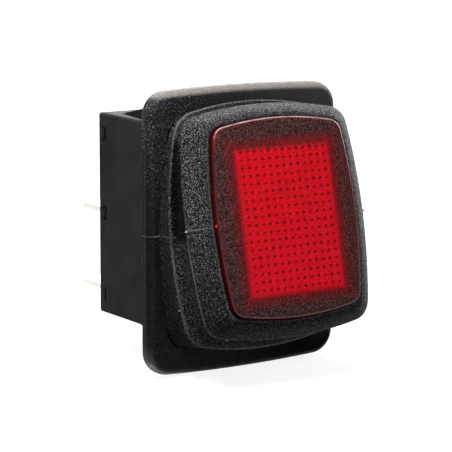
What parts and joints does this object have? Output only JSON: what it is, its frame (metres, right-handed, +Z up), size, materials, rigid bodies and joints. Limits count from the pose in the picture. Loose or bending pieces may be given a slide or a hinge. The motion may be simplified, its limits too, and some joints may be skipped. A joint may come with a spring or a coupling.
{
  "type": "panel rocker switch",
  "caption": "Sealed illuminated rocker switch for a rectangular panel cut-out, with a soft rubber boot, a red lens and blade terminals at the rear.",
  "frame": {"origin": "centre of the panel cut-out in the plane of the seat, where the rubber flange's back face meets the panel", "axes": "+X to the right seen from the front, +Y back through the panel, +Z up along the rocker; the rocker's upper end is pressed in"},
  "size_m": [0.032, 0.0442, 0.0406],
  "materials": {
    "housing_nylon": "smooth moulded nylon, matte",
    "frame_nylon": "smooth moulded nylon, matte",
    "boot_rubber": "fine sparkling grain, satin",
    "lens_red": "translucent red, fine matt texture round a lit window",
    "lamp_glass": "clear glass",
    "resistor_body": "lacquered",
    "spring_steel": "drawn wire",
    "plunger_plastic": "polished",
    "copper_strip": "bright stamped",
    "silver_tip": "satin silver",
    "tinned_brass": "bright tin plate"
  },
  "bodies": {
    "frame": {"housing": "housing_nylon", "bezel": "frame_nylon", "boot_flange": "boot_rubber", "boot_bellows": "boot_rubber", "lamp_spring_left": "spring_steel", "lamp_spring_right": "spring_steel", "centre_terminal_left": "tinned_brass", "centre_terminal_right": "tinned_brass", "end_terminal_left": "tinned_brass", "end_terminal_right": "tinned_brass", "fixed_tip_left": "silver_tip", "fixed_tip_right": "silver_tip"},
    "rocker_body": {"rocker": "frame_nylon", "lens": "lens_red", "boot_cap": "boot_rubber", "lamp": "lamp_glass", "lamp_resistor": "resistor_body", "plunger_spring_left": "spring_steel", "plunger_spring_right": "spring_steel"},
    "plunger_left_body": {"plunger_left": "plunger_plastic"},
    "plunger_right_body": {"plunger_right": "plunger_plastic"},
    "contact_left_body": {"moving_contact_left": "copper_strip", "moving_tip_left": "silver_tip"},
    "contact_right_body": {"moving_contact_right": "copper_strip", "moving_tip_right": "silver_tip"}
  },
  "joints": [
    {"name": "rocker_hinge", "type": "hinge", "parent": "frame", "child": "rocker_body", "pos_m": [0, 0.0005, 0], "axis": [1, 0, 0], "range_deg": [0, 26], "deforming": ["boot_bellows", "lamp_spring_left", "lamp_spring_right"]},
    {"name": "plunger_left_slide", "type": "slide", "parent": "rocker_body", "child": "plunger_left_body", "axis": [0, -0.9744, 0.225], "range_m": [0, 0.0004], "stiffness_N_per_m": 250, "springref_m": -0.002, "deforming": ["plunger_spring_left"]},
    {"name": "plunger_right_slide", "type": "slide", "parent": "rocker_body", "child": "plunger_right_body", "axis": [0, -0.9744, 0.225], "range_m": [0, 0.0004], "stiffness_N_per_m": 250, "springref_m": -0.002, "deforming": ["plunger_spring_right"]},
    {"name": "contact_left_rock", "type": "hinge", "parent": "frame", "child": "contact_left_body", "pos_m": [-0.0062, 0.0092, 0], "axis": [1, 0, 0], "range_deg": [-10, 0]},
    {"name": "contact_right_rock", "type": "hinge", "parent": "frame", "child": "contact_right_body", "pos_m": [0.0062, 0.0092, 0], "axis": [1, 0, 0], "range_deg": [-10, 0]}
  ],
  "couplings": [
    {"joint": "contact_left_rock", "follows": "rocker_hinge", "ratio": -0.38461},
    {"joint": "contact_right_rock", "follows": "rocker_hinge", "ratio": -0.38461},
    {"joint": "plunger_right_slide", "follows": "plunger_left_slide", "ratio": 1}
  ]
}
